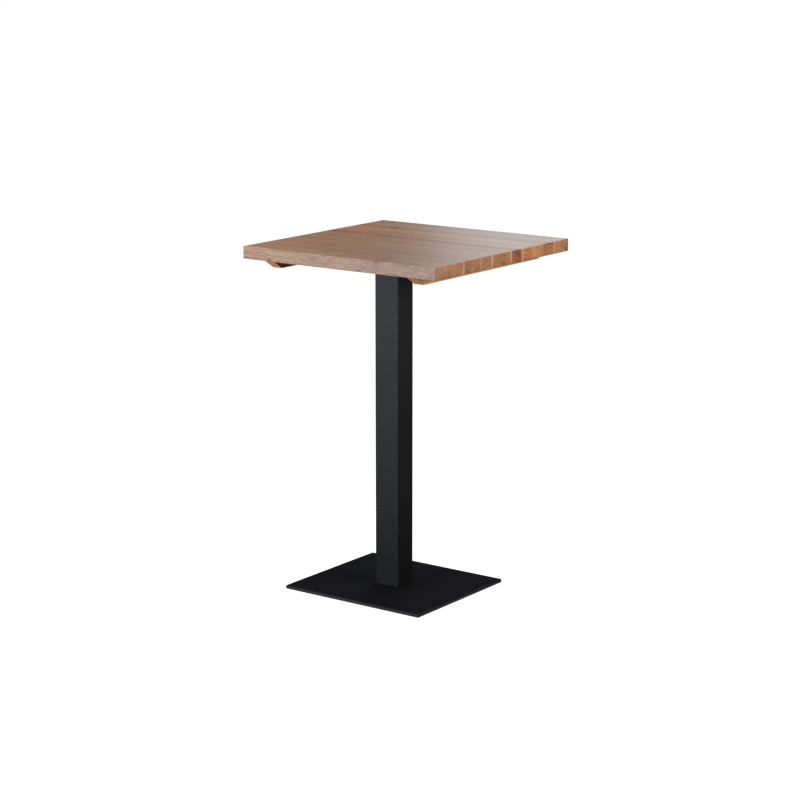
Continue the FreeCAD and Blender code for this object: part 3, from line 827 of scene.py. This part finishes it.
def make_wood_screw():
    """A countersunk wood screw with a cross recess, its head down. It is 50 mm long."""
    profile = [(4.55, 0.0), (4.8, 0.12), (4.8, 0.35), (2.15, 2.9), (2.0, 3.4), (2.0, 6.0)]
    head = turned("head", profile, 40)
    for turn in (0.0, math.pi / 2):
        head = combined("head", head, make_recess_arm(turn), "DIFFERENCE")
    thread = threaded("thread", 2.4, 1.6, 2.4, 5.5, 46.0, 24, 8)
    point = turned("point", [(1.6, 45.8), (0.8, 48.4), (0.05, 50.0)], 24)
    return joined("wood_screw", [head, thread, point])


def make_hex_bolt():
    """An M8 hexagon head bolt, its head down: a chamfered head, then a threaded shank."""
    blank = prism("hexagon", 6, M8_FLATS, 0.0, HEAD_HEIGHT)
    chamfer = turned("chamfer", [(6.2, 0.0), (7.6, 0.82), (7.6, HEAD_HEIGHT)], 60)
    head = combined("bolt_head", blank, chamfer, "INTERSECT")
    end = HEAD_HEIGHT + BOLT_SHANK
    shank = threaded("shank", M8_RADIUS, M8_ROOT, M8_PITCH, HEAD_HEIGHT, end, 32, 8)
    return joined("hex_bolt", [head, shank])


def make_washer():
    """A flat washer with one rounded punched side."""
    bm = bmesh.new()
    steps = 48
    profile = [
        (WASHER_HOLE, 0.0), (7.75, 0.0), (8.0, 0.25),
        (8.0, WASHER_THICK - 0.1), (7.9, WASHER_THICK), (WASHER_HOLE, WASHER_THICK),
    ]
    ring_wall(bm, [circle_ring(r * MM, z * MM, steps) for r, z in profile], steps, hollow=True)
    return mesh_from("washer", bm)


def make_foot_stud():
    """The levelling stud: disc and neck in the pad, hexagon collar, then M8 thread."""
    profile = [(6.2, 1.3), (6.5, 1.5), (6.5, 2.3), (6.2, 2.5), (3.8, 2.5), (3.8, 4.1)]
    lower = turned("disc", profile, 40)
    blank = prism("collar", 6, M8_FLATS, 4.0, 8.0)
    chamfer = turned("chamfer", [(6.3, 4.0), (7.6, 4.75), (7.6, 7.3), (6.4, 8.0)], 60)
    collar = combined("collar", blank, chamfer, "INTERSECT")
    shank = threaded("shank", M8_RADIUS, M8_ROOT, M8_PITCH, 7.9, 16.0, 40, 10)
    return joined("levelling_stud", [lower, collar, shank])


def make_foot_pad():
    """A nylon pad: ribbed rim to turn by hand, domed shoulder and a dished underside."""
    steps = 144
    bm = bmesh.new()
    profile = [
        (4.2, 1.1, 0.0), (6.8, 1.1, 0.0), (7.0, 0.9, 0.0), (9.6, 0.8, 0.0), (10.2, 0.0, 0.0),
        (13.1, 0.0, 0.0), (13.6, 0.25, 0.2), (14.0, 0.8, 0.5), (14.0, 2.4, 0.5), (13.5, 3.1, 0.3),
        (12.2, 3.6, 0.0), (9.0, 3.95, 0.0), (7.9, 4.0, 0.0), (7.4, 3.9, 0.0), (4.2, 3.9, 0.0),
    ]

    def ribbed(radius, height, rib):
        def at(i):
            turn = 2 * math.pi * i / steps
            r = radius - rib * (0.5 - 0.5 * math.cos(24 * turn))
            return Vector((r * MM * math.cos(turn), r * MM * math.sin(turn), height * MM))

        return at

    ring_wall(bm, [ribbed(*point) for point in profile], steps, hollow=True)
    return mesh_from("levelling_pad", bm, 40)


# ---------------------------------------------------------------- the table


def paint(name, material):
    """Gives a CAD node a finish, with its place and shape left alone."""
    for slot in NODES[name].material_slots:
        slot.material = material


def finish_top():
    knot = make_knot_group()
    board_grain = make_board_group()
    for number in range(1, len(STAVES) + 1):
        name = f"stave_{number:02d}"
        low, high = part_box(name)
        paint(name, make_stave_material(number, board_grain, knot, low.y, high.y))
    # each cleat's seed, and the tone and tint of its long sides: painted shade makes the left cleat's
    # sides dark, as in the shadow under the top, and painted light makes the right cleat's sides pale,
    # as lit from the right
    for side, seed, painted_side_tone, painted_side_tint in (
        ("left", 31.0, 0.42, (1.20, 0.88, 0.70)),
        ("right", 37.0, 0.88, (1.14, 1.10, 0.86)),
    ):
        low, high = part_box("cleat_" + side)
        pith = (0.0, (low.x + high.x) / 2 - 0.022, 1.000)
        name = "oiled_cleat_" + side
        material = make_cleat_material(name, board_grain, seed, pith, painted_side_tone, painted_side_tint)
        paint("cleat_" + side, material)


def finish_metal(steel, oxide, zinc):
    satin = make_powder_coat("powder_coat_satin", 0.30, 0.40)
    # the base plate's upright edges get a painted highlight
    flat = make_powder_coat("powder_coat_flat", 0.02, 0.62, 0.045)
    paint("column_tube", satin)
    paint("head_plate", satin)
    paint("base_plate", flat)
    for name in ("column_top_block", "column_bottom_block"):
        paint(name, steel)
    for name in ("head_plate_bolts", "base_bolts"):
        paint(name, oxide)
    paint("thread_inserts", zinc)


def make_fasteners(pattern, zinc):
    screws = set_out(
        "cross_head_screws", pattern, make_wood_screw(), zinc,
        (-CLEAT_X, -SCREW_PITCH * (SCREWS_A_CLEAT - 1) / 2, CLEAT_UNDERSIDE),
        SCREW_PITCH, SCREWS_A_CLEAT, 2 * CLEAT_X, 2,
    )
    finish_piece(screws, TABLE_BODY, "zinc", "cleat_screws")
    first_y = -BOLT_PITCH_Y * (BOLTS_A_ROW - 1) / 2
    washer_face = HEAD_PLATE_UNDERSIDE - WASHER_THICK
    bolts = set_out(
        "hex_bolts", pattern, make_hex_bolt(), zinc,
        (BOLT_X, first_y, washer_face - HEAD_HEIGHT), BOLT_PITCH_Y, BOLTS_A_ROW, BOLT_PITCH_X, 2,
    )
    finish_piece(bolts, TABLE_BODY, "zinc", "top_bolts")
    washers = set_out(
        "flat_washers", pattern, make_washer(), zinc,
        (BOLT_X, first_y, washer_face), BOLT_PITCH_Y, BOLTS_A_ROW, BOLT_PITCH_X, 2,
    )
    finish_piece(washers, TABLE_BODY, "zinc", "top_washers")


def make_feet(pattern, zinc, nylon):
    stud, pad = make_foot_stud(), make_foot_pad()
    for corner in ("front_left", "front_right", "back_left", "back_right"):
        low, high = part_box("foot_pad_" + corner)
        middle = ((low + high) / 2) / MM
        foot = (middle.x, middle.y, 0.0)
        piece = set_out("levelling_stud_" + corner, pattern, stud, zinc, foot)
        finish_piece(piece, "stud_" + corner, "zinc", "foot_stud_" + corner)
        piece = set_out("levelling_pad_" + corner, pattern, pad, nylon, foot)
        finish_piece(piece, "pad_" + corner, "black_nylon", "foot_pad_" + corner)


# ---------------------------------------------------------------- studio


def make_camera():
    data = bpy.data.cameras.new("camera")
    data.lens = CAMERA_LENS
    data.sensor_width = 36.0
    camera = bpy.data.objects.new("camera", data)
    bpy.context.scene.collection.objects.link(camera)
    camera.location = CAMERA_PLACE
    camera.rotation_euler = (math.radians(90) + CAMERA_PITCH, 0.0, CAMERA_YAW)
    bpy.context.scene.camera = camera


def make_floor():
    material, _, shader = new_material("pale_floor", roughness=0.9, specular=0.1)
    shader["Base Color"].default_value = (0.35, 0.35, 0.35, 1.0)
    shader["Emission Color"].default_value = (1.0, 1.0, 1.0, 1.0)
    shader["Emission Strength"].default_value = 0.98
    bm = bmesh.new()
    bmesh.ops.create_grid(bm, x_segments=1, y_segments=1, size=400.0)
    mesh = bpy.data.meshes.new("floor")
    bm.to_mesh(mesh)
    bm.free()
    mesh.materials.append(material)
    floor = bpy.data.objects.new("floor", mesh)
    floor.location.z = FLOOR
    floor.visible_diffuse = False
    floor.visible_glossy = False
    bpy.context.scene.collection.objects.link(floor)


def add_panel(name, place, aim, size, power, colour):
    """A soft light panel that faces a point."""
    data = bpy.data.lights.new(name, "AREA")
    data.shape = "RECTANGLE"
    data.size, data.size_y = size
    data.energy = power
    data.color = colour
    lamp = bpy.data.objects.new(name, data)
    bpy.context.scene.collection.objects.link(lamp)
    lamp.location = place
    lamp.rotation_euler = (Vector(aim) - Vector(place)).to_track_quat("-Z", "Y").to_euler()
    lamp.visible_camera = False


def make_light():
    """A dim room, with soft panels at the left, above, at the right and far behind."""
    world = bpy.data.worlds.new("studio")
    bpy.context.scene.world = world
    world.use_nodes = True
    tree = world.node_tree
    way = add_node(tree, "ShaderNodeTexCoord").outputs["Generated"]
    up = add_node(tree, "ShaderNodeSeparateXYZ", {0: way}).outputs["Z"]
    glow = maths(tree, "MULTIPLY_ADD", smooth_step(tree, up, 0.10, 0.90), 0.14, 0.06)
    glow = maths(tree, "MULTIPLY_ADD", smooth_step(tree, up, -0.30, -0.75), 0.30, glow)
    backdrop = tree.nodes["Background"].inputs
    backdrop["Color"].default_value = (1.0, 1.0, 1.0, 1.0)
    tree.links.new(glow, backdrop["Strength"])
    # each panel's place, the point that it faces, its size, its power in watts and its colour
    for name, place, aim, size, power, colour in (
        ("left_panel", (-0.80, -2.05, 0.80), (-0.05, -0.2, 0.8), (1.2, 1.2), 38.0, (0.90, 0.96, 1.0)),
        ("top_panel", (-0.95, -0.10, 1.95), (-0.1, 0.0, 1.05), (1.4, 1.4), 14.2, (0.96, 0.98, 1.0)),
        ("right_panel", (1.75, 0.35, 1.38), (0, 0, 1.08), (0.9, 0.6), 24.0, (1.0, 0.97, 0.93)),
        ("back_panel", (-1.08, 5.40, 3.0), (-0.4913, 4.5916, 3.0), (4.2, 2.8), 88.0, (0.85, 0.94, 1.0)),
    ):
        add_panel(name, place, aim, size, power, colour)
    bpy.context.scene.view_settings.view_transform = "Standard"


make_camera()
make_floor()
make_light()
finish_top()
zinc_plate = make_zinc()
finish_metal(make_mill_steel(), make_black_oxide(), zinc_plate)
pattern_tree = make_pattern_tree()
make_fasteners(pattern_tree, zinc_plate)
make_feet(pattern_tree, zinc_plate, make_nylon())
